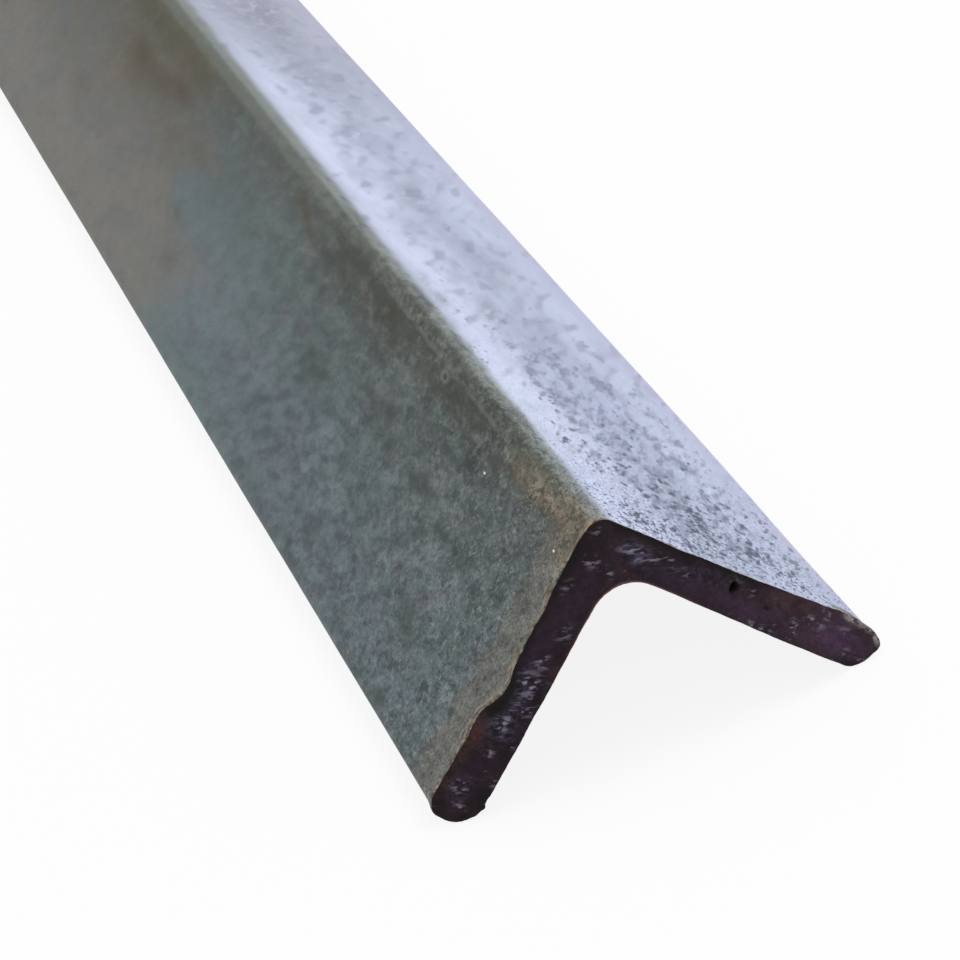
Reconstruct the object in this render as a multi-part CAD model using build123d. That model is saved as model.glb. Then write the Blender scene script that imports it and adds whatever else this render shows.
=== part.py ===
"""Equal-leg steel angle: one metre of hot-rolled stock, 40 x 40 x 5 mm.

The bar lies heel up on its two toes. +Y runs along the bar away from its hand-cut end, +X is the
side of the right leg and +Z is up. The origin is the bottom centre of the bar. Lengths are in mm.
"""

from build123d import *

import os
from math import atan2, cos, degrees, radians, sin

# Rolled section. A leg is measured over its outer face, from the heel's sharp corner to the toe.
leg_width = 40.0
leg_thickness = 5.0
root_radius = 5.0
heel_radius = 1.8
toe_outer_radius = 2.0
toe_inner_radius = 2.9

# Length of the bar
bar_length = 1000.0

# The heel points straight up, so each leg falls away at half a right angle.
leg_slope = 45.0

# Hand-cut end. A grinder's disc went over each leg twice, leaning out of square, so that each pass
# leaves the outer face set back and runs out to nothing at the inner face. The first pass took the
# whole leg and the second its toe. A reach is how near the heel the disc's rim came.
disc_diameter = 115.0
left_first_setback = 1.6
left_second_setback = 3.1
left_second_reach = 25.0
right_first_setback = 1.4
right_second_setback = 3.3
right_second_reach = 27.0


def toe_radii():
    """Outer and inner radius of a toe, both reduced where the leg is too thin for their sum."""
    fullest = 0.98 * leg_thickness
    share = min(1.0, fullest / (toe_outer_radius + toe_inner_radius))
    return toe_outer_radius * share, toe_inner_radius * share


def rolled_section():
    """The section with its heel's sharp corner at the origin, pointing along +Y, as a face."""
    toe_outer, toe_inner = toe_radii()
    rounded_corners = [
        ((0, 0), heel_radius),
        ((leg_width, 0), toe_outer),
        ((leg_width, -leg_thickness), toe_inner),
        ((leg_thickness, -leg_thickness), root_radius),
        ((leg_thickness, -leg_width), toe_inner),
        ((0, -leg_width), toe_outer),
    ]
    with BuildSketch() as section:
        with BuildLine():
            Polyline(*[corner for corner, radius in rounded_corners], close=True)
        make_face()
        for corner, radius in rounded_corners:
            fillet(section.vertices().sort_by_distance(corner)[0], radius)
    return Rot(Z=-leg_slope) * section.sketch


def disc_pass(reach, setback):
    """Waste of one pass over a leg that lies along +X, its inner face towards +Y, cut end down.

    The disc's flat side makes the cut. It turns about the inner face's cut edge until the outer
    face is set back, and its rim runs across the leg at the reach.
    """
    disc_radius = disc_diameter / 2
    lean = degrees(atan2(setback, leg_thickness))
    disc = Cylinder(disc_radius, 2 * setback, align=(Align.CENTER, Align.CENTER, Align.MAX))
    return Pos(Y=leg_thickness) * Rot(X=-lean) * Pos(reach + disc_radius, -leg_thickness / 2) * disc


def leg_waste(first_setback, second_setback, second_reach):
    """Everything the two passes take off one leg's end. The first pass starts clear of the heel."""
    first_reach = -leg_thickness
    return disc_pass(first_reach, first_setback) + disc_pass(second_reach, second_setback)


def angle_bar():
    """The rolled bar at its length, standing on its toes, with its near end cut by hand."""
    section = rolled_section()
    heel_height = -section.bounding_box().min.Y
    near_end = (0, -bar_length / 2, heel_height)
    bar = extrude(Plane(near_end, x_dir=(1, 0, 0), z_dir=(0, -1, 0)) * section, -bar_length)

    down_the_leg = (cos(radians(leg_slope)), 0, -sin(radians(leg_slope)))
    right_leg = Plane(near_end, x_dir=down_the_leg, z_dir=(0, 1, 0))
    left_waste = leg_waste(left_first_setback, left_second_setback, left_second_reach)
    right_waste = leg_waste(right_first_setback, right_second_setback, right_second_reach)
    bar -= right_leg * right_waste
    bar -= mirror(right_leg * left_waste, about=Plane.YZ)
    return bar


os.makedirs("parts", exist_ok=True)
export_step(angle_bar(), "parts/angle_bar.step")
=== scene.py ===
"""A metre of hot-rolled steel angle, 40 x 40 x 5 mm, cut by hand at its near end.

The bar lies heel up on its two toes. +Y runs along it away from the hand-cut end, +X is the side of
its right leg and +Z is up. Sizes are in millimetres until a place on the bar becomes a vertex.
"""

import bpy
import numpy as np
from mathutils import Matrix, Vector


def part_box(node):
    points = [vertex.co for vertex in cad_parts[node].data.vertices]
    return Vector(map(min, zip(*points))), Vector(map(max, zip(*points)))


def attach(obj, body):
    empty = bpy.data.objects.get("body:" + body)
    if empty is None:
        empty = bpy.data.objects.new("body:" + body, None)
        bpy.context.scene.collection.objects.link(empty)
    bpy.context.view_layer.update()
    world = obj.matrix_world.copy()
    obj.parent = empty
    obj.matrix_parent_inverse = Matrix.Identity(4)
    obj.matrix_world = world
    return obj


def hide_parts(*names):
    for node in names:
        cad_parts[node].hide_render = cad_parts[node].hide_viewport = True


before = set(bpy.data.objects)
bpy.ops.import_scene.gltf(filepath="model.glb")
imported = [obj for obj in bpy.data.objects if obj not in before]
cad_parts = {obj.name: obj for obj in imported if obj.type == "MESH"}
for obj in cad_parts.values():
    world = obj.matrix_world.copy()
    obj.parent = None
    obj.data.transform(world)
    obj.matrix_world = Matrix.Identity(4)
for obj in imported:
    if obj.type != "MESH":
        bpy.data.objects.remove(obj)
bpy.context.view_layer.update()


# ---- The rolled section ------------------------------------------------------------------------
# Mild steel, hot-rolled to an equal angle. The rolls leave a rounded heel, a fillet at the root and
# toes that are nearly half round. Its width and length come from the frame.
MM = 0.001
low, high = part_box("angle_bar")
heel_radius = 1.8
root_radius = 5.0
toe_outer_radius = 2.0
toe_inner_radius = 2.9
leg_thickness = 5.0
leg_width = 2 ** 0.5 * (high.x / MM - toe_outer_radius) + 2 * toe_outer_radius
bar_length = (high.y - low.y) / MM
heel_corner = high.z / MM + heel_radius * (2 ** 0.5 - 1)

# How many steps a leg's outline has near the cut, where the edge is ragged. Further along, every
# other one is left out.
heel_steps = 24
flat_steps = 96
toe_steps = 16


def arc(centre, radius, start, stop, count=40):
    """Points on a circle in the plane of a leg's width and depth, between two angles in degrees."""
    turn = np.radians(np.linspace(start, stop, count))
    return np.stack([centre[0] + radius * np.cos(turn), centre[1] + radius * np.sin(turn)], 1)


def stepped(points, count):
    """The same line through other points: places at equal distances along it."""
    run = np.concatenate([[0], np.cumsum(np.linalg.norm(np.diff(points, axis=0), axis=1))])
    stops = np.linspace(0, run[-1], count + 1)
    return np.stack([np.interp(stops, run, points[:, 0]), np.interp(stops, run, points[:, 1])], 1)


def leg_outline(stretches):
    """One side of a leg, from the heel's middle to the toe's tip, as width and depth.

    The three stretches are the heel, the flat and the toe. Both sides of a leg have as many steps
    in each, so a point outside faces a point inside.
    """
    counts = (heel_steps, flat_steps, toe_steps)
    parts = [stepped(np.vstack(line), count) for line, count in zip(stretches, counts)]
    return np.vstack([parts[0], parts[1][1:], parts[2][1:]])


fillet_end = leg_thickness + root_radius
toe_start = leg_width - toe_inner_radius
toe_tip = (leg_width, (toe_outer_radius + leg_thickness - toe_inner_radius) / 2)
toe_centre = leg_width - toe_outer_radius
outside = leg_outline([
    [arc((heel_radius, heel_radius), heel_radius, 225, 270), [(fillet_end, 0)]],
    [[(fillet_end, 0), (toe_start, 0)]],
    [[(toe_start, 0)], arc((toe_centre, toe_outer_radius), toe_outer_radius, 270, 360), [toe_tip]]])
inside = leg_outline([
    [arc((fillet_end, fillet_end), root_radius, 225, 270)],
    [[(fillet_end, leg_thickness), (toe_start, leg_thickness)]],
    [arc((toe_start, leg_thickness - toe_inner_radius), toe_inner_radius, 90, 0), [toe_tip]]])


def both_legs(side_of_leg):
    """The left leg's points from its toe up to the heel, then the right leg's down, with -1 and 1."""
    side = np.sign(np.arange(-len(side_of_leg) + 1, len(side_of_leg)))
    return np.vstack([side_of_leg[:0:-1], side_of_leg]), side


# The ring runs up the left leg and down the right one outside, then back inside.
outer_line, outer_side = both_legs(outside)
inner_line, inner_side = both_legs(inside)
ring = np.vstack([outer_line, inner_line[-2:0:-1]])
ring_side = np.concatenate([outer_side, inner_side[-2:0:-1]])
ring_inside = np.concatenate([np.zeros(len(outer_line)), np.ones(len(inner_line) - 2)])


def bar_point(width, depth, along, side):
    """A place on the bar in metres: down a leg from the heel's corner, in from its outer face, and
    along from the near end. side is -1 on the left leg and 1 on the right."""
    slope = 0.5 ** 0.5
    sideways = side * slope * (width - depth)
    upwards = heel_corner - slope * (width + depth)
    return MM * np.stack(np.broadcast_arrays(sideways, low.y / MM + along, upwards), -1)


def wander(across, along, size, seed):
    """A smooth random field, mostly between -1 and 1: the sum of cosine waves in random directions.
    size is how long the waves are across and along."""
    dice = np.random.default_rng(seed)
    turns, phases, paces = dice.uniform((0, 0, 0.6), (np.pi, 2 * np.pi, 1.6), (14, 3)).T
    total = 0
    for turn, phase, pace in zip(turns, phases, paces):
        waves = across / size[0] * np.cos(turn) + along / size[1] * np.sin(turn)
        total = total + np.cos(2 * np.pi * pace * waves + phase)
    return total / len(turns) ** 0.5


def eased(value, start, stop):
    """0 before start, 1 after stop, and a smooth step between."""
    share = np.clip((value - start) / (stop - start), 0, 1)
    return share * share * (3 - 2 * share)


# ---- The hand-cut end --------------------------------------------------------------------------
# The bar was parted with an angle grinder, in passes that leaned and ran out of line. Each pair is
# a distance down the leg and how far the cut stands back there, at the outer or the inner face.
left_outer_cut = [
    (0, 1.2), (2, 1.7), (4, 2.0), (6, 2.1), (10, 1.8), (12, 1.3), (16, 1.4), (18.5, 1.2), (20, 0.8),
    (21.4, 0.1), (22.6, 0.1), (24, 1.1), (25, 1.7), (26, 2.6), (27, 3.1), (31, 3.0), (38, 3.3),
    (40, 3.3)]
left_inner_cut = [(0, 0.5), (34, 0.5), (37, 0.8), (40, 1.4)]
right_outer_cut = [
    (0, 1.2), (9, 1.3), (11, 1.3), (14, 1.6), (20, 1.95), (24, 2.2), (26, 2.65), (29, 2.95), (31, 3.5),
    (34, 3.7), (35, 3.3), (36.5, 2.7), (38, 1.9), (40, 1.6)]
right_inner_cut = [
    (0, 0.9), (17, 0.85), (20, 0.6), (24, 0.4), (28, 0.05), (33, 0.0), (35, 0.3), (37, 0.7), (40, 1.4)]
cut_rows = 18

# Holes that the disc laid open: leg, distance down it, depth, half width, half height, how deep
holes = [
    (1, 19.8, 1.75, 0.40, 0.60, 1.2), (1, 24.6, 2.4, 0.20, 0.20, 0.4), (1, 36.6, 3.6, 0.25, 0.20, 0.10)]


def along_edge(points, width):
    """A cut edge's setback at a distance down the leg: straight runs with their corners eased."""
    stops = np.linspace(0, leg_width, 401)
    run = np.interp(stops, *np.transpose(points))
    window = np.hanning(13)[1:-1]
    padded = np.pad(run, len(window) // 2, mode="edge")
    return np.interp(width, stops, np.convolve(padded, window / window.sum(), "valid"))


def cut_setback(width, depth, side):
    """How far the hand-cut face stands back from the bar's near end, at a place on the section.

    It runs straight from the outer edge's setback to the inner edge's. The two legs' cuts blend
    across the heel. Ripples, small chips on the outer edge and the holes are added to it.
    """
    share = np.clip(depth / leg_thickness, 0, 1)
    left = (1 - share) * along_edge(left_outer_cut, width) + share * along_edge(left_inner_cut, width)
    right = (1 - share) * along_edge(right_outer_cut, width) + share * along_edge(right_inner_cut, width)
    from_middle = side * (width - depth)
    setback = left + (right - left) * eased(from_middle, -4, 4)
    setback = setback + 0.03 * wander(from_middle, depth, (7, 4), 3)
    setback = setback + 0.025 * wander(from_middle, depth, (1.1, 0.9), 4)
    chips = np.clip(wander(from_middle, depth, (2.2, 6), 5) - 0.4, 0, 1)
    chips = chips + 0.3 * wander(from_middle, 0 * depth, (0.9, 1), 6)
    setback = setback + 0.08 * chips * np.exp(-depth / 0.5)
    for leg, hole_width, hole_depth, half_width, half_height, deepest in holes:
        apart = np.hypot((width - hole_width) / half_width, (depth - hole_depth) / half_height)
        setback = setback + np.where(side == leg, deepest * np.exp(-apart ** 4), 0)
    return np.maximum(setback, 0)


# ---- The skin ----------------------------------------------------------------------------------
# The rolled faces, still in their blue-grey mill scale. They run from the hand-cut edge to the sawn
# end in rows that lie close together near the cut and far apart where nothing changes.
def row_places(first, last, finest, growth):
    """Distances along the bar whose steps grow evenly, so that each is a share wider than the last."""
    count = int(np.ceil(np.log1p(growth * (last - first) / finest) / growth))
    steps = np.expm1(growth * np.arange(count + 1))
    return first + (last - first) * steps / steps[-1]


near_length = 12.0
near_rows = row_places(0.0, near_length, finest=0.14, growth=0.11)
far_rows = row_places(near_length, bar_length, finest=0.75, growth=0.015)[1:]

# How far along the bar the rows go on following the cut's ragged line
cut_fades = 14.0

edge = cut_setback(ring[:, 0], ring[:, 1], ring_side)
ring_place = bar_point(ring[:, 0], ring[:, 1], 0 * edge, ring_side)
tangent = np.roll(ring_place, -1, axis=0) - np.roll(ring_place, 1, axis=0)
tangent /= np.linalg.norm(tangent, axis=1)[:, None]
outward = np.stack([-tangent[:, 2], 0 * edge, tangent[:, 0]], 1)


def skin_relief(width, depth, side, inside_face, along, from_cut):
    """How far the rolled skin stands out from its true shape.

    Long shallow waves come from the rolls. Low ridges run along the heel. A burr stands along parts
    of the cut edge, and the edge itself is slightly dressed down. The toes bulge at the cut, the left
    one is chipped there, and the right one's corner is worn behind it.
    """
    across = side * width
    relief = 0.03 * wander(across, along, (14, 90), 11) + 0.012 * wander(across, along, (3, 22), 12)
    near_heel = (1 - inside_face) * np.exp(-((width - 2.6) / 1.8) ** 2) * (side <= 0)
    groove = np.sin(2 * np.pi * (width + 0.25 * wander(0, along, (1, 40), 13)) / 1.25)
    relief = relief + 0.035 * near_heel * groove * (0.6 + 0.4 * wander(across, along, (9, 25), 14))
    burr_height = 0.06 + 0.04 * wander(across, 0, (4.5, 1), 15) + 0.015 * wander(across, 0, (0.8, 1), 16)
    relief = relief + (1 - 0.8 * inside_face) * burr_height * np.exp(-from_cut / 0.35)
    relief = relief - 0.06 * np.exp(-(from_cut / 0.12) ** 2)
    toe_burr = 0.25 * np.exp(-((across - 35.5) / 1.6) ** 2) * np.exp(-from_cut / 0.8)
    relief = relief + (1 - inside_face) * toe_burr
    at_toe = (width > 35) * np.exp(-(from_cut / 1.6) ** 2)
    pushed_out = 0.36 * (side > 0) * np.exp(-((depth - 1.5) / 0.8) ** 2)
    pushed_out = pushed_out + 0.25 * (side < 0) * np.exp(-((depth - 0.9) / 0.7) ** 2)
    chipped = 0.45 * (side < 0) * np.exp(-((depth - 4.3) / 0.5) ** 2)
    crumb = 0.35 * (side < 0) * np.exp(-((width - 36.4) / 0.35) ** 2 - ((depth - 5) / 0.3) ** 2)
    worn_toe = (side > 0) * eased(width, 36.5, 38.5) * np.exp(-((depth - 0.6) / 0.9) ** 2)
    relief = relief - 0.35 * worn_toe * eased(from_cut, 0.4, 2.5) * (1 - eased(from_cut, 20, 60))
    return relief + at_toe * (pushed_out - chipped + crumb)


def skin_grid(picked, rows):
    """The skin over some of the ring's points and some rows, as rows of vertices, with where each is:
    width, depth, side, distance along and distance from the cut."""
    width, depth, side = ring[picked, 0], ring[picked, 1], ring_side[picked]
    from_cut = rows[:, None] + 0 * width
    along = from_cut + edge[picked] * np.exp(-(from_cut / cut_fades) ** 2) * (1 - from_cut / bar_length)
    stands = skin_relief(width, depth, side, ring_inside[picked], along, from_cut)
    place = bar_point(width, depth, along, side) + MM * stands[:, :, None] * outward[picked]
    place[..., 2] = np.maximum(place[..., 2], 0)
    facts = np.broadcast_arrays(width, depth, side, along, from_cut)
    return place, np.stack(facts, -1)


every = np.arange(len(ring))
near_skin, near_facts = skin_grid(every, near_rows)
far_skin, far_facts = skin_grid(every[::2], far_rows)


def end_facts(spots, side, along, from_cut):
    """Where each place on an end is, in skin_grid's order."""
    return np.stack(np.broadcast_arrays(spots[..., 0], spots[..., 1], side, along, from_cut), -1)


# The near end's face lies between the ring's outer and inner halves. Its two end stations are the
# toes' tips, where both halves meet.
stations = len(outer_line)
share = np.linspace(0, 1, cut_rows + 1)[1:-1, None, None]
cut_spots = (1 - share) * outer_line[1:-1] + share * inner_line[1:-1]
cut_side = outer_side[1:-1]
cut_back = cut_setback(cut_spots[..., 0], cut_spots[..., 1], cut_side)
cut_face = bar_point(cut_spots[..., 0], cut_spots[..., 1], cut_back, cut_side)
cut_facts = end_facts(cut_spots, cut_side, cut_back, 0)


# ---- The sawn end ------------------------------------------------------------------------------
# The far end is as the mill's saw left it: square, flat and dull. Its face is made as the near end's
# is, with every other point of the ring.
sawn_rows = 6
share = np.linspace(0, 1, sawn_rows + 1)[1:-1, None, None]
sawn_spots = (1 - share) * outer_line[2:-2:2] + share * inner_line[2:-2:2]
sawn_side = outer_side[2:-2:2]
sawn_face = bar_point(sawn_spots[..., 0], sawn_spots[..., 1], bar_length, sawn_side)
sawn_facts = end_facts(sawn_spots, sawn_side, bar_length, bar_length)


# ---- One closed shell --------------------------------------------------------------------------
# The bar is one piece of steel, so its skin and its two ends are one mesh, which stands for the
# frame's plain bar.
def ring_faces(numbers):
    """Four-sided faces between neighbouring rows of a closed ring, pointing outwards."""
    near, far = numbers[:-1], numbers[1:]
    return np.stack([near, np.roll(near, -1, 1), np.roll(far, -1, 1), far], -1).reshape(-1, 4)


def end_faces(rim, inner_numbers, outwards):
    """The faces of an end, from its rim's numbers and those of the rows between the rim's halves.

    Returns four-sided faces, and three-sided ones at the toes' tips.
    """
    half = len(rim) // 2
    between = np.pad(inner_numbers, ((0, 0), (1, 1)), constant_values=0)
    between[:, 0], between[:, -1] = rim[0], rim[half]
    grid = np.vstack([rim[: half + 1], between, np.roll(rim[::-1], 1)[: half + 1]])
    corners = np.stack([grid[:-1, :-1], grid[1:, :-1], grid[1:, 1:], grid[:-1, 1:]], -1)[..., ::outwards]
    fours = corners[:, 1:-1].reshape(-1, 4)
    left_tip = np.stack([grid[:-1, 0], grid[1:, 1], grid[:-1, 1]], -1)[:, ::outwards]
    right_tip = np.stack([grid[:-1, -1], grid[:-1, -2], grid[1:, -2]], -1)[:, ::outwards]
    return fours, np.vstack([left_tip, right_tip])


def numbered(grid, start):
    """The vertex numbers of a grid of places, counted from start."""
    return start + np.arange(grid[..., 0].size).reshape(grid.shape[:-1])


grids = [near_skin, far_skin, cut_face, sawn_face]
starts = np.cumsum([0] + [grid[..., 0].size for grid in grids])
numbers = [numbered(grid, start) for grid, start in zip(grids, starts)]
near_numbers, far_numbers, cut_numbers, sawn_numbers = numbers
vertices = np.vstack([grid.reshape(-1, 3) for grid in grids])
facts = np.vstack([part.reshape(-1, 5) for part in (near_facts, far_facts, cut_facts, sawn_facts)])

last, first = near_numbers[-1], far_numbers[0]
joining = np.stack([last[::2], last[1::2], np.roll(last[::2], -1), np.roll(first, -1), first], -1)
cut_fours, cut_threes = end_faces(near_numbers[0], cut_numbers, 1)
sawn_fours, sawn_threes = end_faces(far_numbers[-1], sawn_numbers, -1)

# The finishes are numbered in the order in which their materials join the mesh.
mill_scale, ground_cut, sawn_end = 0, 1, 2
face_groups = [
    (mill_scale, ring_faces(near_numbers)), (mill_scale, joining), (mill_scale, ring_faces(far_numbers)),
    (ground_cut, cut_fours), (ground_cut, cut_threes), (sawn_end, sawn_fours), (sawn_end, sawn_threes)]
finish_of_face = np.concatenate([[finish] * len(group) for finish, group in face_groups])
mesh = bpy.data.meshes.new("steel_angle")
mesh.from_pydata(vertices, [], [face for _, group in face_groups for face in group.tolist()])
mesh.polygons.foreach_set("material_index", finish_of_face)
mesh.shade_smooth()
mesh.set_sharp_from_angle(angle=np.radians(38))
steel_angle = bpy.data.objects.new("steel_angle", mesh)
bpy.context.collection.objects.link(steel_angle)


# Where each vertex lies: down the left leg is negative and down the right one positive
width, depth, side, along, from_cut = facts.T
across = side * (width - depth)
outdoors = 1 - eased(depth, 0.6, 2.2)


def keep(name, values):
    """Stores one number a vertex on the mesh, for the finishes to read."""
    mesh.attributes.new(name, "FLOAT", "POINT").data.foreach_set("value", values.astype(np.float32))


def marks(places, lean=0.0):
    """The sum of soft round or long marks. Each is its distance across the bar's outside, its distance
    from the near end, its half width, its half length and its strength. A lean turns them all, so that
    they run down the leg by that much for each millimetre along."""
    total = 0 * across
    for mark_across, mark_along, half_width, half_length, strength in places:
        sideways = across - mark_across - lean * (along - mark_along)
        apart = (sideways / half_width) ** 2 + ((along - mark_along) / half_length) ** 2
        total = total + strength * np.exp(-apart)
    return total * outdoors


rolled_place = mesh.attributes.new("rolled_place", "FLOAT_VECTOR", "POINT")
rolled_place.data.foreach_set("vector", np.stack([across, depth, along], 1).astype(np.float32).ravel())
keep("from_cut", from_cut)
keep("outdoors", outdoors)

on_cut = np.zeros(len(facts), bool)
on_cut[near_numbers[0]] = True
on_cut[cut_numbers] = True


def patches(places):
    """The sum of soft patches on the hand-cut face. Each is its leg, the distance down it, the depth,
    half its width, half its height and its strength."""
    total = 0 * across
    for leg, patch_width, patch_depth, half_width, half_height, strength in places:
        apart = ((width - patch_width) / half_width) ** 2 + ((depth - patch_depth) / half_height) ** 2
        total = total + np.where(side == leg, strength * np.exp(-apart), 0)
    return total * on_cut


scuff_places = [
    (1, 6.2, 2.4, 1.5, 0.8, 1.0), (1, 8.4, 2.0, 1.2, 0.6, 0.9), (1, 10.6, 1.6, 1.1, 0.35, 0.7),
    (1, 12.8, 2.4, 1.6, 0.6, 0.4), (1, 28.8, 3.4, 0.5, 0.9, 0.9), (1, 31.5, 2.0, 1.2, 0.5, 0.9),
    (1, 33.0, 0.8, 0.5, 0.5, 0.8), (1, 36.0, 1.5, 1.0, 0.3, 0.6), (1, 24.5, 4.6, 2.4, 0.3, 0.7),
    (1, 19.4, 0.9, 0.8, 0.25, 0.9), (1, 22.2, 1.5, 1.0, 0.4, 0.5), (1, 36.6, 3.6, 0.5, 0.4, 0.8),
    (1, 38.4, 3.7, 1.2, 0.2, 0.8), (-1, 1.5, 1.0, 0.8, 0.5, 0.6), (-1, 5.2, 2.2, 0.7, 1.0, 0.8),
    (-1, 5.6, 4.5, 0.5, 0.5, 0.9), (-1, 9.0, 1.1, 0.8, 0.5, 0.6), (-1, 14.0, 3.4, 1.0, 0.8, 0.5),
    (-1, 17.9, 2.8, 0.7, 0.9, 0.9), (-1, 20.8, 2.4, 1.2, 1.6, 1.1), (-1, 23.6, 3.4, 1.2, 1.2, 0.9),
    (-1, 26.6, 2.5, 1.4, 0.8, 1.0), (-1, 30.4, 2.7, 0.4, 0.5, 0.9), (-1, 35.6, 1.9, 1.0, 0.8, 0.7),
    (-1, 37.8, 2.9, 0.5, 0.7, 0.8), (-1, 28.5, 4.2, 0.5, 0.4, 0.8), (-1, 33.2, 4.6, 0.6, 0.3, 0.7)]
keep("scuffed", patches(scuff_places))
keep("blued", patches([
    (1, 7.2, 2.3, 2.4, 1.0, 0.8), (-1, 26.4, 2.4, 2.2, 1.2, 1.0), (-1, 22.0, 1.6, 3.0, 1.4, 0.5),
    (1, 15.5, 1.6, 3.0, 0.8, 0.4), (-1, 36.0, 2.0, 1.2, 1.0, 0.5)]))
keep("purpled", patches([
    (1, 13.0, 3.8, 5.0, 1.4, 0.7), (1, 22.0, 3.6, 4.0, 1.2, 0.8), (1, 35.0, 2.9, 3.5, 1.5, 0.9),
    (-1, 17.2, 1.2, 3.0, 1.3, 0.8), (-1, 11.0, 2.5, 4.0, 1.6, 0.4), (-1, 33.0, 2.6, 3.0, 1.3, 0.3)]))
keep("reddened", patches([
    (-1, 28.6, 0.7, 2.6, 0.9, 1.0), (-1, 32.5, 0.4, 4.5, 0.5, 0.8), (-1, 16.8, 4.6, 2.2, 0.4, 0.7),
    (-1, 37.7, 3.7, 0.6, 0.4, 0.9), (1, 28.5, 0.8, 3.0, 0.8, 0.3), (1, 25.8, 1.7, 1.5, 0.8, 0.25),
    (1, 7.0, 4.8, 2.5, 0.4, 0.6), (-1, 7.0, 4.8, 2.5, 0.4, 0.5)]))
# Painted shade on the hand-cut face: a near-black rim along its outer edges, and near-black patches under
# the left leg's lip, along parts of the inner edges and in the holes, stronger in deeper holes.
shade_rim_right = eased(width, 0, 3) * (1 - eased(width, 22, 28))
shade_rim_left = 0.8 * eased(width, 2, 5) * (1 - eased(width, 21, 24))
shade_reach = 0.75 + 0.25 * wander(across, 0, (3, 1), 25)
shade_rim = np.where(side > 0, shade_rim_right, shade_rim_left) * np.exp(-(depth / shade_reach) ** 2)
shade_places = [
    (1, 37.6, 4.7, 3.0, 0.5, 0.8), (1, 30.0, 4.9, 4.0, 0.35, 0.5), (-1, 35.3, 4.2, 1.2, 0.7, 0.9),
    (-1, 22.4, 0.7, 2.4, 0.8, 0.8), (-1, 25.2, 0.8, 1.6, 1.0, 1.0), (-1, 38.8, 4.0, 1.0, 0.8, 0.7),
    (-1, 21.5, 4.0, 1.5, 0.8, 0.4)]
for leg, hole_width, hole_depth, half_width, half_height, deepest in holes:
    hole_shade = min(2.0, 3 * deepest)
    shade_places.append((leg, hole_width, hole_depth, 1.15 * half_width, 1.15 * half_height, hole_shade))
keep("painted_shade", shade_rim * on_cut + patches(shade_places))
in_fillet = (width < fillet_end) & (depth < fillet_end)
from_root = np.hypot(fillet_end - width, fillet_end - depth) - root_radius
from_root = np.where(in_fillet, from_root, leg_thickness - depth)
keep("root_rim", np.exp(-(from_root / 0.16) ** 2) * (1 - eased(width, 11, 19)) * on_cut)
round_the_toe = (width > toe_centre) & (depth < toe_outer_radius)
from_outside = toe_outer_radius - np.hypot(width - toe_centre, toe_outer_radius - depth)
from_outside = np.where(round_the_toe, from_outside, np.minimum(depth, leg_width - width))
toe_lip = (side > 0) * eased(width, 34.5, 36) * np.exp(-(from_outside / 0.5) ** 6)
keep("toe_lip", toe_lip * (1 - eased(depth, 0.9, 1.9)) * on_cut)

# The left leg turns from blue-grey to a warm grey further along, sooner at its toe.
warm_from = 168 + 22 * eased(-across, 30, 10) + 14 * wander(across, along, (16, 60), 21)
cooler = eased(wander(across, along, (70, 260), 27), 0.1, 0.9) * eased(along, 300, 400)
keep("warm", eased(along, warm_from - 22, warm_from + 22) * (1 - 0.8 * cooler))
rust_places = [
    (-11.4, 226, 2.2, 7, 1.1), (-9.8, 199, 1.7, 7, 1.1), (-12.0, 211, 2.6, 8, 0.45),
    (-15.0, 228, 3.0, 9, 0.4), (-12.0, 210, 2.0, 8, 0.4), (-23.0, 174, 1.2, 3, 0.6),
    (-29.0, 169, 1.6, 4, 0.5), (-24.5, 250, 2.5, 7, 0.4), (-5.0, 205, 2.2, 16, 0.35),
    (-4.8, 128, 0.9, 3, 0.8), (-5.9, 125, 0.9, 3, 0.8), (-7.1, 120, 0.9, 3, 0.8),
    (-13, 470, 5, 16, 0.6), (-28, 640, 7, 22, 0.5), (-9, 820, 4, 20, 0.6)]
keep("rust", marks(rust_places))
olive_places = [
    (-6.0, 196, 2.8, 10, 0.8), (-5.0, 226, 2.4, 12, 0.9), (-6.0, 92, 3.0, 26, 0.5),
    (-22, 270, 4, 16, 0.3), (-2.9, 216, 4.5, 20, 0.8), (-3.3, 194, 3.0, 14, 0.6),
    (-6.7, 230, 4.0, 14, 0.4)]
keep("olive", marks(olive_places))
keep("heel_brown", marks([
    (-3.4, 12, 2.0, 14, 1.0), (-4.6, 21, 1.4, 6, 0.5), (-1.4, 4, 1.8, 5, 0.7),
    (-5.6, 4.5, 2.4, 3.5, 0.7)]))
keep("tan_streak", marks([
    (-3.2, 9, 0.6, 5, 1.0), (-4.0, 21, 0.9, 5.5, 1.0), (-7.2, 3.6, 1.4, 2.4, 0.6), (-1.0, 7, 0.6, 5, 0.5),
    (-3.2, 15, 0.7, 4, 0.5)]))
heel_dark = eased(along, 16, 36) * (1 - eased(along, 98, 122)) + 0.45 * eased(along, 150, 200)
heel_dark = heel_dark * (0.75 + 0.35 * wander(0, along, (1, 22), 22))
heel_dark_middle = across + 5.4 + 0.4 * wander(0, along, (1, 30), 23)
keep("heel_dark", heel_dark * np.exp(-(heel_dark_middle / 2.5) ** 4) * outdoors)
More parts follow.
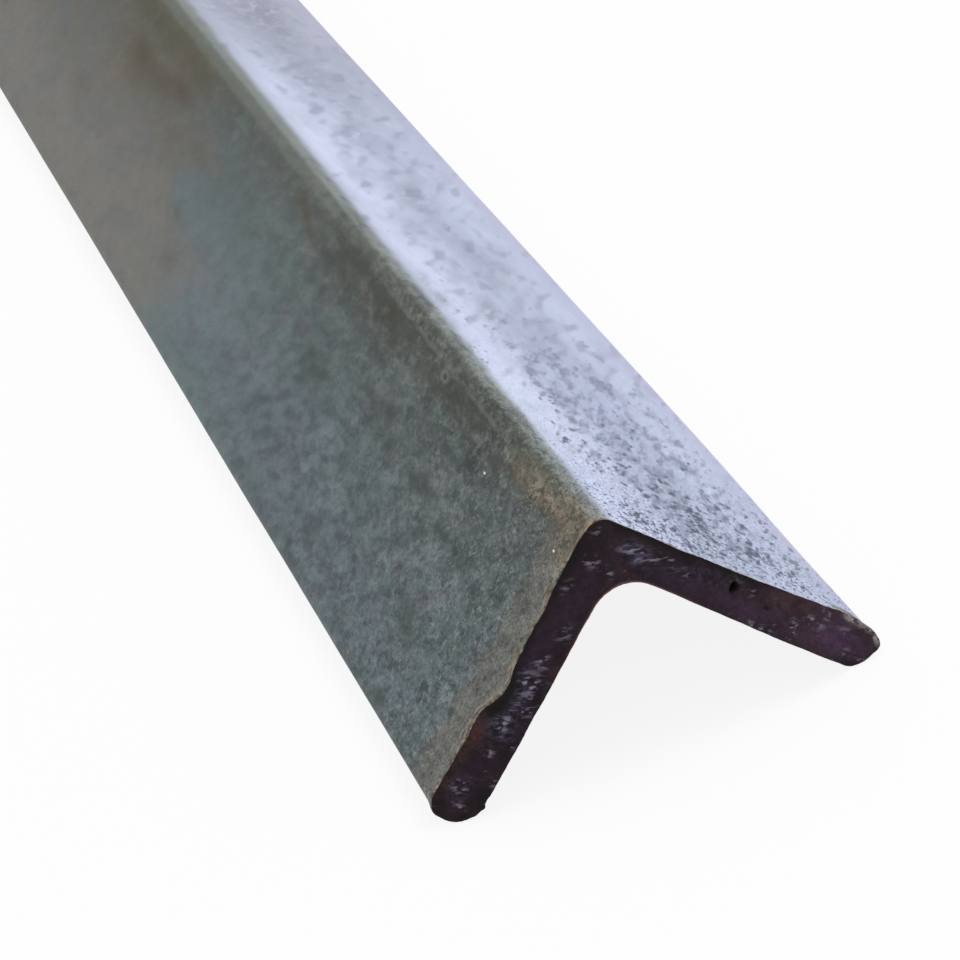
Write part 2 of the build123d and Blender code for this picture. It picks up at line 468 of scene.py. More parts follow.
keep("stain", marks([
    (-7.1, 120, 0.8, 2.6, 0.5), (-7.2, 114, 0.8, 2.6, 0.8), (-7.1, 109, 0.8, 2.6, 1.0),
    (-7.0, 102, 0.8, 2.6, 0.8), (-6.4, 96, 0.8, 2.6, 0.7), (-3.2, 98, 1.0, 4, 0.6),
    (-4.4, 99, 1.0, 7, 0.6), (-5.8, 69, 0.9, 9, 0.6), (-15.8, 44.5, 0.8, 4, 0.9),
    (-16.4, 51, 0.8, 3, 0.9), (-16.6, 61.5, 1.2, 2.4, 0.9), (-13.4, 66.5, 1.3, 4, 0.9),
    (-14.6, 73, 0.9, 3, 0.7), (-25.4, 62.5, 1.0, 3.4, 0.7), (-27.6, 33, 1.3, 4, 0.7),
    (-29.4, 31, 0.8, 4, 0.7), (-37.4, 28.5, 1.1, 2.2, 1.0), (-37.2, 75.5, 1.0, 1.6, 0.9),
    (-20.0, 92, 2.6, 8, 0.4), (-10.2, 44, 0.5, 5, 0.7), (-32.5, 71, 1.4, 6, 0.5),
    (-17.6, 35, 0.9, 3.4, 0.7), (-6.2, 32, 0.8, 2.2, 0.8), (-18, 100, 1.2, 5, 0.5)]))
keep("bluer", marks([
    (-33, 62, 4.5, 30, 0.9), (-30, 105, 5, 22, 0.7), (-24, 90, 3, 16, 0.5), (-35, 28, 3, 9, 0.6),
    (-31, 150, 5, 20, 0.12), (-20.4, 209, 1.6, 6, 0.6), (-19.8, 278, 2.4, 8, 0.7),
    (-20.6, 254, 3.0, 12, 0.5)]))
keep("purple", marks([
    (-13.5, 45, 2.5, 9, 0.7), (-23, 41, 4, 12, 0.6), (-13, 67, 2, 6, 0.6), (-31, 90, 2.5, 9, 0.5),
    (-6, 38, 2, 8, 0.4), (-20, 23, 3, 5, 0.4), (-30, 6, 5, 8, 0.4), (-25, 150, 4, 18, 0.5),
    (-24, 118, 3, 12, 0.4)]))

# The right leg's pale lavender is a painted reflection of the sky, painted paler along its heel and
# towards its toe than down its middle, and darker for a stretch further along. Pits lie thick near
# the cut and thin out along the bar, towards the heel and towards the toe.
uneven = wander(across, along, (9, 24), 24)
sheen_by_heel = 1 - eased(across, 6, 18 + 0.03 * along)
sheen_by_toe = 0.45 * eased(across, 22, 30)
painted_sheen = (sheen_by_heel + sheen_by_toe) * (0.6 + 0.4 * eased(along, 5, 50)) * (1 - 0.8 * eased(along, 165, 225))
keep("painted_sheen", painted_sheen + 0.07 * uneven + 0.05 * wander(across, along, (6, 40), 26))
middle = eased(across, 3, 13) * (1 - 0.5 * eased(across, 27, 34))
further = eased(along, 290, 400)
none_yet = 0.45 * eased(along, 50, 110) * (1 - further)
near_middle = 0.07 * middle * (1 - eased(along, 10, 20))
fine_pits = (0.55 + 0.17 * middle) * (1 - eased(along, 5, 40)) + 0.15 * uneven
small_pits = (0.44 + 0.36 * middle) * (1 - eased(along, 14, 66)) + 0.18 * uneven + 0.4 * further
broad_pits = (0.15 + 0.95 * middle) * (1 - 0.8 * eased(along, 50, 110)) * eased(along, 0, 14)
broad_pits = broad_pits + 0.15 * uneven
keep("fine_pits", fine_pits - none_yet - near_middle)
keep("small_pits", small_pits - none_yet - near_middle)
keep("broad_pits", broad_pits - 0.5 * none_yet * eased(along, 90, 140))
keep("soft_pits", (0.10 + 0.55 * middle) * (0.3 + 0.7 * eased(along, 30, 90)) + 0.15 * uneven)
keep("darker_stretch", eased(along, 165, 240) * (1 - eased(along, 300, 420)))
smudge_places = [
    (20, 143, 3.6, 7, 0.9), (18.5, 134, 2.0, 5, 0.5), (18, 170, 2.6, 10, 0.8), (22.5, 120, 2.4, 6, 0.7),
    (4.4, 79, 1.3, 3.6, 1.0), (4.4, 88, 0.9, 3.2, 0.8), (2.4, 67, 0.8, 4, 0.5), (9.4, 110, 1.0, 3, 0.8),
    (12.5, 81, 1.2, 5, 0.8), (14.5, 87, 1.4, 6, 0.7), (12.8, 108, 0.9, 5, 0.6),
    (15.0, 105, 0.8, 3, 0.9), (17.8, 72, 1.3, 4, 0.7), (14.4, 71.5, 0.9, 4, 0.8), (24, 84, 1.6, 5, 0.7),
    (32, 86, 1.4, 5, 0.6), (14.2, 51.5, 0.9, 2, 1.0), (14.4, 57, 1.0, 3, 0.7), (26, 47.5, 0.9, 3, 0.9),
    (31.5, 57, 0.9, 3.4, 0.8), (23, 53, 1.2, 3.5, 0.7), (21.2, 61, 0.9, 2.6, 0.8),
    (27, 67, 1.2, 3.4, 0.7), (17.4, 38, 0.8, 1.8, 0.8), (20, 205, 5, 18, 0.8), (14, 240, 7, 22, 0.7),
    (24, 252, 5, 18, 1.0), (21, 232, 5, 16, 0.6), (23, 110, 3, 10, 0.5), (32, 165, 2.5, 8, 0.5),
    (27, 200, 2.4, 12, 0.6), (31, 128, 1.8, 7, 0.5), (10.5, 150, 1.2, 8, 0.6)]
keep("smudge", marks(smudge_places, lean=0.3))
keep("smeary", (0.35 + 0.45 * eased(along, 15, 40)) * (1 - 0.85 * eased(along, 70, 180)))
keep("fine_mottle", 0.06 + 1.2 * np.exp(-(along / 46) ** 1.5) + 0.5 * further)
keep("broad_mottle", 0.15 + 0.85 * np.exp(-(along / 105) ** 2) + 0.4 * further)


# ---- The finishes ------------------------------------------------------------------------------
# Bare steel with nothing put on it: mill scale on the rolled faces, a scorched face where the disc
# went through, and dull sawn steel at the far end. Each finish is a tree of nodes of its own.
def shown(red, green, blue):
    """A colour as a screen shows it, 0 to 255, in the linear values that a material takes."""
    value = np.array([red, green, blue]) / 255
    return (*np.where(value <= 0.04045, value / 12.92, ((value + 0.055) / 1.055) ** 2.4), 1.0)


class Value:
    """What a node gives: a number, a place or a colour. Sums on numbers make more nodes."""

    def __init__(self, socket):
        self.socket = socket

    def __add__(self, other):
        return maths("ADD", self, other)

    def __radd__(self, other):
        return maths("ADD", other, self)

    def __sub__(self, other):
        return maths("SUBTRACT", self, other)

    def __rsub__(self, other):
        return maths("SUBTRACT", other, self)

    def __mul__(self, other):
        return maths("MULTIPLY", self, other)


def feed(socket, value):
    """Gives a node's input a constant or a Value."""
    if isinstance(value, Value):
        tree.links.new(value.socket, socket)
    else:
        socket.default_value = value


def node(kind, feeds, output=0, **settings):
    """Adds a node to the tree that is being made, with feeds by its inputs' names or numbers, and
    returns one of its outputs."""
    made = tree.nodes.new("ShaderNode" + kind)
    for name, value in settings.items():
        setattr(made, name, value)
    for name, value in feeds.items():
        feed(made.inputs[name], value)
    return Value(made.outputs[output])


def steel_finish(name):
    """An empty material with one shader. Returns its tree and the shader."""
    material = bpy.data.materials.new(name)
    material.use_nodes = True
    mesh.materials.append(material)
    return material.node_tree, material.node_tree.nodes["Principled BSDF"]


def kept(name, output="Fac"):
    """What keep() stored on the mesh."""
    return node("Attribute", {}, output, attribute_name=name)


def maths(operation, first, second=0.0):
    """One sum on two numbers."""
    return node("Math", {0: first, 1: second}, operation=operation)


def vectors(operation, first, second):
    """One sum on two places."""
    return node("VectorMath", {0: first, 1: second}, operation=operation)


def rise(value, start, stop):
    """0 up to start, 1 from stop, and a smooth step between. It falls where stop is under start."""
    feeds = {"Value": value, "From Min": start, "From Max": stop}
    return node("MapRange", feeds, interpolation_type="SMOOTHSTEP")


def mix(share, first, second):
    """One colour going over to another as share goes from 0 to 1."""
    return node("Mix", {0: share, 6: first, 7: second}, 2, data_type="RGBA")


def painted(colour, screen_colour, share):
    """A colour going over to another, given as a screen shows it, as share goes from 0 to 1."""
    return mix(share, colour, shown(*screen_colour))


def scaled(colour, amount):
    """A colour or a place multiplied by one number."""
    return node("VectorMath", {0: colour, "Scale": amount}, operation="SCALE")


def varied(colour, value, contrast):
    """A colour lightened and darkened where a 0 to 1 value is above and below its middle."""
    return scaled(colour, (value - 0.5) * contrast + 1.0)


def shifted(value, other, amount):
    """A value moved up and down by up to half the amount, as the other goes from 0 to 1."""
    return value + (other - 0.5) * amount


def line_at(value, centre, half_width):
    """1 where the value is at the centre, falling to 0 at half_width from it."""
    return rise(maths("ABSOLUTE", value - centre), half_width, 0.3 * half_width)


def stretched(place, along):
    """The place with its distance along the bar divided, so that a pattern there grows longer."""
    return vectors("MULTIPLY", place, (1.0, 1.0, 1.0 / along))


def turned(place, degrees):
    """The place turned about the leg's thickness, so that a pattern stretched there lies slanting."""
    return node("VectorRotate", {"Vector": place, "Angle": np.radians(degrees)}, rotation_type="Y_AXIS")


def noise(place, size, seed, detail=2.0, roughness=0.55, twist=0.0):
    """Cloudy noise from 0 to 1 whose clouds are about size millimetres wide, twisted into wisps."""
    feeds = {"Vector": place, "W": float(seed), "Scale": 1.0 / size}
    feeds |= {"Detail": detail, "Roughness": roughness, "Distortion": twist}
    return node("TexNoise", feeds, noise_dimensions="4D")


# Mill scale on both legs. On the left one it is blue-grey and matt, in clouds of teal, purple and tan.
tree, shader = steel_finish("mill scale")
place = kept("rolled_place", "Vector")
across_leg = node("SeparateXYZ", {0: place}, "X")
along_bar = node("SeparateXYZ", {0: place}, "Z")
down_left = across_leg * -1.0
near_cut = kept("from_cut")
fine = kept("fine_mottle")
broad = kept("broad_mottle")
slant = turned(place, 15)
clouds = noise(stretched(place, 2.0), 11, 1, detail=3)
tints = noise(stretched(slant, 2.2), 4.5, 2, detail=3, twist=0.4)
mottle = noise(stretched(slant, 2.0), 2.0, 3, detail=4, roughness=0.6, twist=0.5)
wisps = noise(stretched(place, 1.5), 1.2, 5, detail=3, roughness=0.7, twist=1.0)
crumbs = noise(stretched(slant, 1.5), 0.75, 25, detail=2, roughness=0.65, twist=0.4)
smears = noise(stretched(slant, 2.6), 1.7, 26, detail=2, twist=0.3)
grain = noise(stretched(place, 1.2), 0.36, 4, detail=2)

# Painted shade: the left leg is painted darker towards its heel.
left = mix(rise(down_left, 2, 12), shown(72, 76, 71), shown(79, 89, 90))
left = painted(left, (89, 103, 107), rise(down_left, 11, 24))
left = painted(left, (94, 92, 98), kept("purple") * 0.6)
hues = noise(stretched(slant, 2.4), 3.4, 27, detail=3, twist=0.8)
left = painted(left, (95, 95, 99), rise(hues, 0.52, 0.66) * 0.6)
left = painted(left, (78, 97, 91), rise(hues, 0.48, 0.34) * 0.6)
left = scaled(left, 0.95 + rise(along_bar, 85, 150) * 0.21)
warm_steel = mix(rise(down_left, 8, 30), shown(90, 87, 78), shown(114, 112, 107))
far_hues = noise(stretched(slant, 2.4), 6, 28, detail=3, twist=0.3)
warm_steel = painted(warm_steel, (92, 100, 102), rise(far_hues, 0.5, 0.62) * 0.35)
warm_steel = painted(warm_steel, (116, 110, 98), rise(far_hues, 0.47, 0.38) * 0.35)
left = mix(kept("warm"), left, warm_steel)
left = painted(left, (90, 102, 116), kept("bluer") * 0.6)
left = painted(left, (84, 82, 62), kept("olive") * 0.6)

# The heel's flat is olive, with its corner worn paler.
wavy = shifted(down_left, tints, 1.2)
heel_flat = rise(wavy, 3.4, 2.2) * rise(down_left, -1.9, -0.9)
heel_colour = mix(rise(along_bar, 75, 125), shown(94, 97, 88), shown(108, 114, 107))
left = mix(heel_flat * 0.65, left, heel_colour)

# Beside the cut the sparks left a smoother band of tan grey, crossed by the disc's marks, and brown
# along the heel's first centimetres.
ragged = shifted(near_cut, tints, 7.0)
sparked = rise(ragged, 11.0, 6.5)
left = painted(left, (108, 105, 98), sparked * 0.8)
disc_place = node("CombineXYZ", {0: across_leg * 0.08, 1: near_cut})
disc_marks = noise(disc_place, 0.9, 22, detail=2)
left = varied(left, disc_marks, rise(near_cut, 13, 5) * 0.5)
brown = kept("heel_brown") * rise(mottle, 0.25, 0.5)
browns = mix(rise(wisps, 0.38, 0.6), shown(80, 72, 55), shown(116, 107, 86))
left = mix(brown * 0.9, left, browns)
tan_streak = kept("tan_streak") * rise(wisps, 0.28, 0.46) * rise(mottle, 0.25, 0.45)
left = painted(left, (148, 134, 112), tan_streak * 0.95)
corner = shifted(down_left, tints, 0.9)
left = painted(left, (132, 139, 139), rise(corner, 1.1, 0.1) * 0.7)

# Over all of it: clouds, mottling, pale threads, dark flecks and grain, which fade along the bar
left = varied(left, clouds, broad * 0.5)
smeary = kept("smeary")
part_way = rise(along_bar, 20, 38) * rise(along_bar, 115, 60)
left = varied(left, wisps, part_way * 1.6)
left = varied(left, tints, broad * 0.3 + smeary * 1.5)
left = varied(left, smears, smeary * 1.0)
left = painted(left, (112, 122, 121), rise(smears, 0.5, 0.66) * smeary * 0.4)
left = painted(left, (58, 68, 69), rise(smears, 0.49, 0.36) * smeary * 0.48)
mottling = broad * 0.75 + fine * 1.1
left = varied(left, mottle, mottling)
roughly = 1.0 - sparked * 0.45
busy = 0.5 + rise(noise(place, 4, 24, detail=2), 0.38, 0.6) * 0.5
textured = fine * roughly * busy
left = painted(left, (122, 132, 129), rise(wisps, 0.52, 0.66) * textured * 0.5)
left = painted(left, (50, 58, 57), rise(wisps, 0.47, 0.34) * textured * 0.65)
left = painted(left, (128, 138, 134), rise(crumbs, 0.54, 0.66) * textured * 0.7)
left = painted(left, (50, 56, 54), rise(crumbs, 0.47, 0.36) * textured * 0.8)
left = varied(left, grain, fine * 1.8)
dots = rise(noise(place, 0.42, 18, detail=0), 0.7, 0.78)
left = painted(left, (42, 46, 44), dots * fine * 0.8)
specks = rise(noise(place, 0.5, 19, detail=1), 0.6, 0.68)
speckled = maths("MAXIMUM", brown, rise(near_cut, 9, 2))
left = painted(left, (52, 46, 40), specks * speckled * 0.75)

# Beyond the heel's flat a brown band, with a faint pale line between the two and the mottling stronger
heel_zone = rise(down_left, 10, 6) * rise(down_left, 0.5, 2) * rise(along_bar, 18, 30)
heel_zone = heel_zone * rise(along_bar, 125, 70) * kept("outdoors")
left = varied(left, wisps, heel_zone * 1.5)
left = varied(left, tints, heel_zone * 0.9)
blotches = noise(stretched(place, 2.2), 2.4, 21, detail=2)
heel_band = kept("heel_dark") * rise(blotches, 0.36, 0.56) * 0.9
left = painted(left, (56, 57, 49), heel_band)
pale_line = line_at(wavy, 2.9, 0.45) * rise(along_bar, 10, 26) * rise(along_bar, 100, 70)
left = painted(left, (114, 115, 104), pale_line * rise(mottle, 0.36, 0.56) * 0.45)
left = painted(left, (56, 62, 59), kept("stain") * rise(mottle, 0.3, 0.48) * 0.95)
left = painted(left, (74, 62, 45), kept("rust") * rise(clouds, 0.24, 0.5) * 0.75)


def spot(place, centre, half_width, half_length):
    """1 within a small oval, falling to 0 at its rim. Its centre is across the leg and along the bar."""
    apart = vectors("SUBTRACT", place, (centre[0], 0.0, centre[1]))
    apart = vectors("MULTIPLY", apart, (1 / half_width, 0.0, 1 / half_length))
    return rise(node("VectorMath", {0: apart}, "Value", operation="LENGTH"), 1.0, 0.4)


# Single marks: dark and pale blots, a pit in a pale ring, and two small glints that are painted
# highlights. The blots are drawn on a warped place, so that none is a plain oval.
warp_size = 0.9
warp = node("TexNoise", {"Vector": place, "Scale": 1.2}, 1)
warped = vectors("ADD", place, scaled(warp, warp_size))


def blot(mark_across, mark_along, half_width, half_length):
    """1 within a small oval that is out of true. Its centre makes up for the warp's middle."""
    centre = (mark_across + warp_size / 2, mark_along + warp_size / 2)
    return spot(warped, centre, half_width, half_length)


dark_blots = [
    (-16.9, 2.7, 0.45, 0.7), (-23.8, 6.1, 0.5, 0.8), (-9.7, 3.2, 0.4, 0.6), (-31.2, 19.2, 0.9, 1.6),
    (-30.0, 9.7, 0.8, 1.3), (-17.3, 29.3, 0.8, 1.6), (-8.9, 37.5, 1.0, 2.6), (-12.1, 17.6, 0.6, 1.1),
    (-21.5, 12.5, 0.5, 0.9), (-5.2, 14.0, 0.5, 1.2)]
pale_blots = [
    (-6.0, 38.5, 0.8, 2.0), (-6.4, 67.5, 0.8, 2.2), (-34.5, 49.0, 0.8, 1.6), (-28.8, 83.0, 0.8, 2.4)]
for dark_blot in dark_blots:
    left = painted(left, (44, 52, 50), blot(*dark_blot) * 0.75)
left = painted(left, (124, 130, 118), blot(-4.3, 56.0, 1.0, 2.0) * 0.7)
left = painted(left, (58, 60, 54), blot(-4.3, 56.0, 0.6, 1.2) * 0.95)
for pale_blot in pale_blots:
    left = painted(left, (136, 146, 142), blot(*pale_blot) * 0.28)
# Painted highlights: two small yellow-white glints.
for glint in ((-7.0, 6.4), (-8.0, 32.4)):
    left = painted(left, (232, 226, 168), spot(place, glint, 0.22, 0.45))

# Next to the cut the disc and the burr left the edge burnished, in lines along it.
edge_place = node("CombineXYZ", {0: across_leg * 0.3, 1: near_cut})
edge_lines = noise(edge_place, 0.32, 20)
burnished = mix(rise(edge_lines, 0.42, 0.56), shown(84, 72, 60), shown(160, 142, 122))
burnished = varied(burnished, wisps, 1.6)
edge_reach = shifted(near_cut, mottle, 8.0)
left = mix(rise(edge_reach, 1.7, 0.3) * 0.65, left, burnished)
chipped = rise(near_cut, 1.2, 0.2) * rise(crumbs, 0.49, 0.4)
left = painted(left, (50, 42, 38), chipped * 0.75)

# The right leg is the same mill scale as the left, painted brighter and bluer as a painted reflection of
# the sky. Its pits lie slanting over it, sharp and thick near the cut and broad and soft further along.
right = mix(kept("painted_sheen"), shown(164, 174, 203), shown(193, 201, 228))
# Further along, a stretch of the painted reflection is darker.
right = painted(right, (146, 146, 162), kept("darker_stretch") * 0.55)
right = painted(right, (178, 194, 200), rise(tints, 0.56, 0.7) * 0.35)
right = varied(right, clouds, 0.45)
right = varied(right, mottle, 0.25)
slant = turned(place, -26)
slant_long = stretched(slant, 5.0)


def pits(place, size, seed, density, softness, detail=1.0):
    """Soft-edged pits: where a noise is above a level that sinks as the density goes from 0 to 1."""
    level = 0.7 - density * 0.24
    above = noise(place, size, seed, detail=detail) - level
    return rise(above, -0.04, softness)


fine_pits = pits(stretched(slant, 1.7), 0.5, 30, kept("fine_pits"), 0.14)
small_pits = pits(stretched(slant, 2.4), 0.95, 31, kept("small_pits"), 0.18)
broad_pits = pits(stretched(slant, 3.8), 1.3, 32, kept("broad_pits"), 0.2)
soft_pits = pits(slant_long, 1.9, 34, kept("soft_pits"), 0.22, detail=0)
soft_clouds = pits(slant_long, 3.6, 38, kept("soft_pits") * 1.6, 0.3)
hollow = rise(noise(slant_long, 0.9, 36, detail=1), 0.66, 0.44)
streaks = noise(slant_long, 1.1, 37, detail=3, twist=0.5)
right = varied(right, streaks, rise(along_bar, 120, 40) * 0.45)
hollow = 0.4 + hollow * 0.6
smudged = kept("smudge") * rise(noise(slant_long, 1.4, 35), 0.3, 0.55)
right = painted(right, (134, 140, 166), soft_clouds * 0.45)
right = painted(right, (116, 124, 154), soft_pits * 0.55)
right = painted(right, (112, 118, 142), smudged * 0.6)
broad_pits = broad_pits * hollow
right = painted(right, (100, 108, 134), broad_pits * 0.7)
right = painted(right, (62, 68, 92), small_pits * 0.9)
right = painted(right, (44, 48, 68), fine_pits * 0.95)
glitter = noise(stretched(slant, 1.5), 0.32, 33)
right = varied(right, glitter, fine * 1.5)
right_edge = mix(rise(tints, 0.42, 0.58), shown(206, 196, 208), shown(140, 122, 116))
right = mix(rise(near_cut, 0.55, 0.1) * 0.7, right, right_edge)
right = painted(right, (165, 161, 194), rise(across_leg, 32.5, 37.0) * 0.38)
right = painted(right, (134, 129, 134), rise(across_leg, 38.3, 39.3) * 0.8)
rim_ends = rise(shifted(near_cut, tints, 3.0), 3.0, 2.0)
rim_colour = mix(rise(across_leg, 35.5, 37.5), shown(98, 84, 66), shown(112, 108, 112))
rim_colour = varied(rim_colour, wisps, 1.6)
right = mix(rise(across_leg, 33.2, 35.0) * rim_ends * 0.9, right, rim_colour)

heel_shade = rise(across_leg, 5.5, 2.0) * rise(along_bar, 40, 85) * 0.17
right = scaled(right, 1.0 - heel_shade)
over_heel = shifted(shifted(across_leg, wisps, 0.4), tints, 1.2)
right_skin = rise(over_heel, 0.5, 3.0)
colour = mix(right_skin, left, right)

# The inner faces, where the disc's sparks never reached, are plain blue-grey scale.
inner = mix(rise(clouds, 0.35, 0.65), shown(86, 92, 98), shown(98, 100, 98))
inner = varied(inner, mottle, 0.7)
colour = mix(kept("outdoors"), inner, colour)
feed(shader.inputs["Base Color"], colour)

pitted = maths("MAXIMUM", maths("MAXIMUM", small_pits, fine_pits), broad_pits * 0.5)
bright = right_skin * kept("outdoors")
shine = bright * (1.0 - pitted)
shader.inputs["Specular IOR Level"].default_value = 0.3
feed(shader.inputs["Metallic"], shine * 0.4 + 0.2)
feed(shader.inputs["Roughness"], 0.62 - shine * 0.2)
height = mottle + grain * 0.4 - pitted * bright
bump = node("Bump", {"Height": height, "Strength": 0.5, "Distance": 0.00012})
feed(shader.inputs["Normal"], bump)

# Hand-cut steel: scorched dark by the disc, purple and red-brown in places, with pale scuffs in short
# strokes all one way. Its near-black rim and patches are painted shade.
tree, shader = steel_finish("ground cut")
place = scaled(node("TexCoord", {}, "Object"), 1000.0)
strokes = vectors("MULTIPLY", turned(place, -17), (0.3, 1.0, 1.0))
clouds = noise(place, 4.0, 40, detail=3)
mottle = noise(place, 0.9, 41, detail=3, roughness=0.65)
grain = noise(place, 0.3, 42)
scratches = noise(strokes, 0.42, 43, detail=1, twist=0.3)
flecks = noise(strokes, 0.55, 44, detail=2, twist=0.4)
scuffed = kept("scuffed")
colour = mix(rise(clouds, 0.36, 0.64), shown(28, 16, 23), shown(41, 27, 36))
colour = painted(colour, (50, 33, 52), kept("purpled"))
colour = painted(colour, (64, 40, 36), kept("reddened") * rise(mottle, 0.3, 0.6) * 0.85)
colour = painted(colour, (78, 78, 104), kept("blued") * rise(mottle, 0.42, 0.56) * 0.6)
# Painted light: the face is painted lighter towards the right leg's toe.
to_the_right = node("SeparateXYZ", {0: kept("rolled_place", "Vector")}, "X")
colour = scaled(colour, 0.85 + rise(to_the_right, 8, 36) * 0.75)
colour = varied(colour, mottle, 1.8)
colour = varied(colour, grain, 1.2)
few_flecks = rise(flecks, 0.68, 0.76) * 0.5
colour = painted(colour, (112, 100, 112), few_flecks)
scuffs = maths("MAXIMUM", rise(scratches, 0.54, 0.66), rise(flecks, 0.54, 0.66)) * scuffed
colour = painted(colour, (134, 128, 146), scuffs * 0.95)
colour = painted(colour, (128, 92, 88), kept("root_rim") * 0.7)
toe_lip = kept("toe_lip") * rise(mottle, 0.36, 0.54) * 0.9
lip_colour = varied(shown(138, 130, 132)[:3], grain, 2.4)
colour = mix(toe_lip, colour, lip_colour)
# Painted shade: near-black along the outer edges, under the lip and in the holes.
colour = painted(colour, (13, 10, 13), kept("painted_shade"))
feed(shader.inputs["Base Color"], colour)
shader.inputs["Metallic"].default_value = 0.1
shader.inputs["Roughness"].default_value = 0.7
shader.inputs["Specular IOR Level"].default_value = 0.18
height = mottle + grain * 0.4
bump = node("Bump", {"Height": height, "Strength": 0.6, "Distance": 0.0002})
feed(shader.inputs["Normal"], bump)

# Sawn steel: a dull grey, faintly mottled
tree, shader = steel_finish("sawn end")
place = kept("rolled_place", "Vector")
mottle = noise(place, 2.0, 50, detail=4)
colour = mix(rise(mottle, 0.3, 0.7), shown(96, 94, 92), shown(126, 124, 122))
feed(shader.inputs["Base Color"], colour)
shader.inputs["Metallic"].default_value = 0.6
shader.inputs["Roughness"].default_value = 0.5


# ---- The layout for baking ---------------------------------------------------------------------
# The skin is laid flat in three lengths side by side, the one nearest the cut largest. The hand-cut
# face and the sawn one lie above them, straightened out from toe to toe.
steps_round = np.linalg.norm(np.roll(ring_place, -1, axis=0) - ring_place, axis=1)
perimeter = steps_round.sum()
round_ring = np.cumsum(steps_round) - steps_round
ring_number = np.arange(len(ring))
station = np.minimum(ring_number, len(ring) - ring_number)
at_tip = (station == 0) | (ring_number == stations - 1)
seat = np.stack([round_ring, round_ring[station], np.where(at_tip, 0.5, ring_inside)], -1)


def seats(picked, rows):
    """For each vertex of a grid on the skin: distance round the ring, station and share inwards."""
    return np.tile(seat[picked], (rows, 1))


def end_seats(picked, rows):
    """The same for a grid on an end, whose rows lie between the ring's outer and inner halves."""
    shares = np.linspace(0, 1, rows + 2)[1:-1, None]
    columns = round_ring[picked]
    return np.stack(np.broadcast_arrays(0 * columns, columns, shares), -1).reshape(-1, 3)


one_leg_to_other = np.arange(stations)
vertex_seats = np.vstack([
    seats(every, len(near_rows)), seats(every[::2], len(far_rows)),
    end_seats(one_leg_to_other[1:-1], cut_rows - 1), end_seats(one_leg_to_other[2:-2:2], sawn_rows - 1)])

corner_vertex = np.zeros(len(mesh.loops), int)
mesh.loops.foreach_get("vertex_index", corner_vertex)
first_corner = np.zeros(len(mesh.polygons), int)
mesh.polygons.foreach_get("loop_start", first_corner)
corners = np.diff(np.append(first_corner, len(corner_vertex)))
face_of_corner = np.repeat(np.arange(len(corners)), corners)
finish = finish_of_face[face_of_corner][:, None]
round_it, across_end, inwards = vertex_seats[corner_vertex].T
furthest_round = np.maximum.reduceat(round_it, first_corner)[face_of_corner]
round_it = round_it + perimeter * (furthest_round - round_it > perimeter / 2)
corner_row = from_cut[corner_vertex]
nearest_row = np.minimum.reduceat(corner_row, first_corner)[face_of_corner]
rows = np.concatenate([near_rows, far_rows])
strip_starts = rows[np.searchsorted(rows, (0, 150, 450, bar_length))]
strip = np.searchsorted(strip_starts, nearest_row, side="right") - 1
strip = np.clip(strip, 0, 2)

# The square's shares: each strip's left edge and width, and each band's lower edge and height
margin = 0.005
strip_left = np.array([margin, 0.625, 0.845])[strip]
strip_wide = np.array([0.60, 0.20, 0.145])[strip]
strip_long = (strip_starts[1:] - strip_starts[:-1])[strip]
skin_height = 0.855
cut_bottom, cut_height = 0.88, 0.075
sawn_bottom, sawn_height = 0.97, 0.025
skin_across = strip_left + strip_wide * round_it / perimeter
skin_up = margin + skin_height * (corner_row - strip_starts[strip]) / strip_long
across_share = across_end / round_ring[stations - 1]
skin_layout = np.stack([skin_across, skin_up], -1)
cut_layout = np.stack([margin + 0.985 * across_share, cut_bottom + cut_height * inwards], -1)
sawn_layout = np.stack([margin + 0.5 * across_share, sawn_bottom + sawn_height * inwards], -1)
layout = np.select([finish == mill_scale, finish == ground_cut], [skin_layout, cut_layout], sawn_layout)
mesh.uv_layers.new(name="OFBake").data.foreach_set("uv", layout.astype(np.float32).ravel())

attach(steel_angle, "root")
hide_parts("angle_bar")


# ---- The studio --------------------------------------------------------------------------------
# The bar lies on a plain white floor in soft light, and the camera stands before its cut end.
def seen_directly():
    """1 on rays from the camera, straight or by way of the steel, and 0 on those that only light."""
    seen = node("LightPath", {}, "Is Camera Ray")
    for other_rays in ("Is Glossy Ray", "Is Transmission Ray"):
        seen = maths("MAXIMUM", seen, node("LightPath", {}, other_rays))
    return seen


def placed(name, data):
    """A new object in the scene."""
    made = bpy.data.objects.new(name, data)
    bpy.context.collection.objects.link(made)
    return made


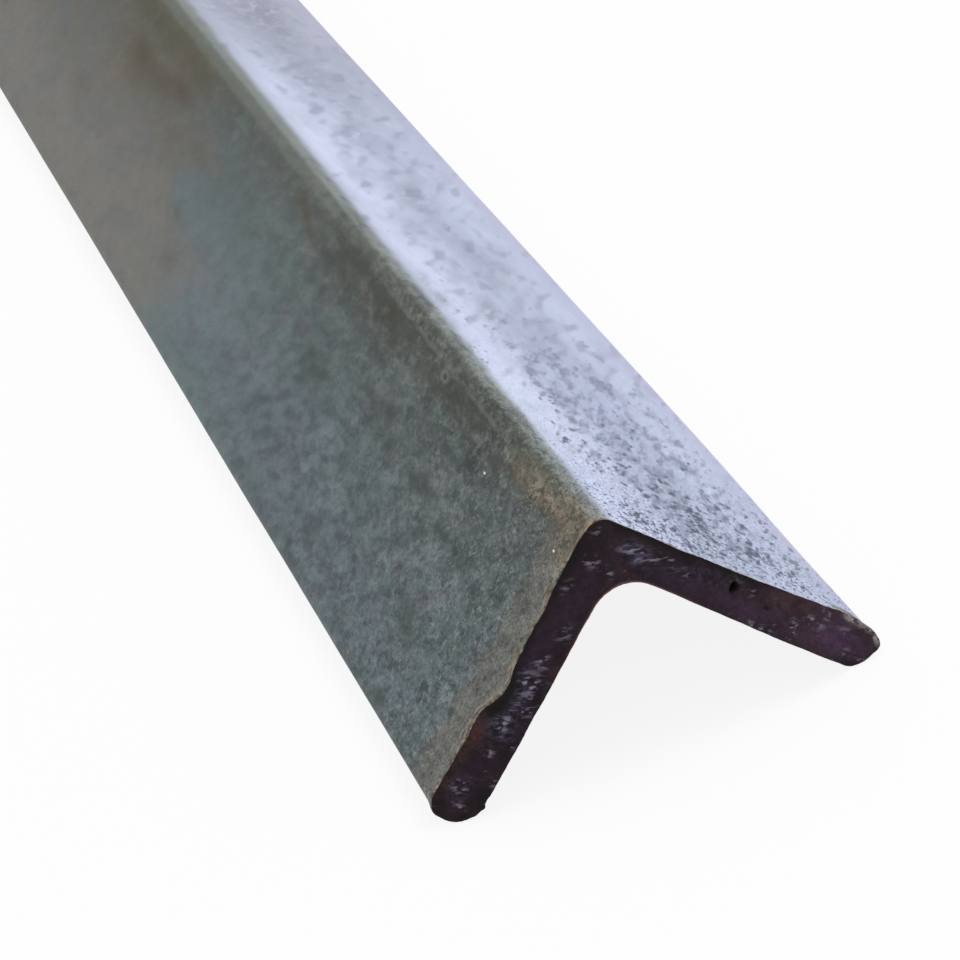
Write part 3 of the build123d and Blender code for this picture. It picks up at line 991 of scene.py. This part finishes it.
# A plain floor that shows white, where the bar's shadow stays pale.
floor_mesh = bpy.data.meshes.new("floor")
floor_mesh.from_pydata([(-8, -8, 0), (8, -8, 0), (8, 8, 0), (-8, 8, 0)], [], [(0, 1, 2, 3)])
floor = placed("floor", floor_mesh)
floor_paint = bpy.data.materials.new("floor paint")
floor_paint.use_nodes = True
floor_mesh.materials.append(floor_paint)
tree = floor_paint.node_tree
seen = seen_directly()
paint = node("BsdfDiffuse", {"Color": (0.85, 0.85, 0.85, 1)})
white = node("Emission", {"Color": (1, 1, 1, 1), "Strength": 1.0})
white_share = seen * 0.88
whitened = node("MixShader", {0: white_share, 1: paint, 2: white})
feed(tree.nodes["Material Output"].inputs["Surface"], whitened)

# Soft light from all round, which shows white to the camera and in the steel
world = bpy.data.worlds.new("studio")
bpy.context.scene.world = world
world.use_nodes = True
tree = world.node_tree
seen = seen_directly()
strength = seen * 0.2 + 0.8
feed(tree.nodes["Background"].inputs["Strength"], strength)
tree.nodes["Background"].inputs["Color"].default_value = (1, 1, 1, 1)

# One broad soft lamp, high on the right
lamp = placed("lamp", bpy.data.lights.new("lamp", "AREA"))
lamp.data.shape = "DISK"
lamp.data.size = 1.2
lamp.data.energy = 14.0
lamp.location = (1.1, -0.4, 1.6)
lamp.rotation_euler = (Vector((0, -0.35, 0)) - lamp.location).to_track_quat("-Z", "Y").to_euler()

# The camera looks down on the cut end from the left, turned about its own line of sight.
camera = placed("camera", bpy.data.cameras.new("camera"))
bpy.context.scene.camera = camera
camera.data.lens = 143.85
camera.data.sensor_width = 36.0
camera.data.clip_start = 0.01
camera_place = Vector((-0.069911, -0.870208, 0.225308))
azimuth, elevation, roll = np.radians((-8.961, 26.248, -17.313))
level_share = np.cos(elevation)
backwards = Vector((level_share * np.sin(azimuth), -level_share * np.cos(azimuth), np.sin(elevation)))
level = Vector((0, 0, 1)).cross(backwards).normalized()
upright = backwards.cross(level)
rightwards = np.cos(roll) * level + np.sin(roll) * upright
upwards = np.cos(roll) * upright - np.sin(roll) * level
facing = Matrix((rightwards, upwards, backwards)).transposed().to_4x4()
camera.matrix_world = Matrix.Translation(camera_place) @ facing
bpy.context.scene.view_settings.view_transform = "Standard"
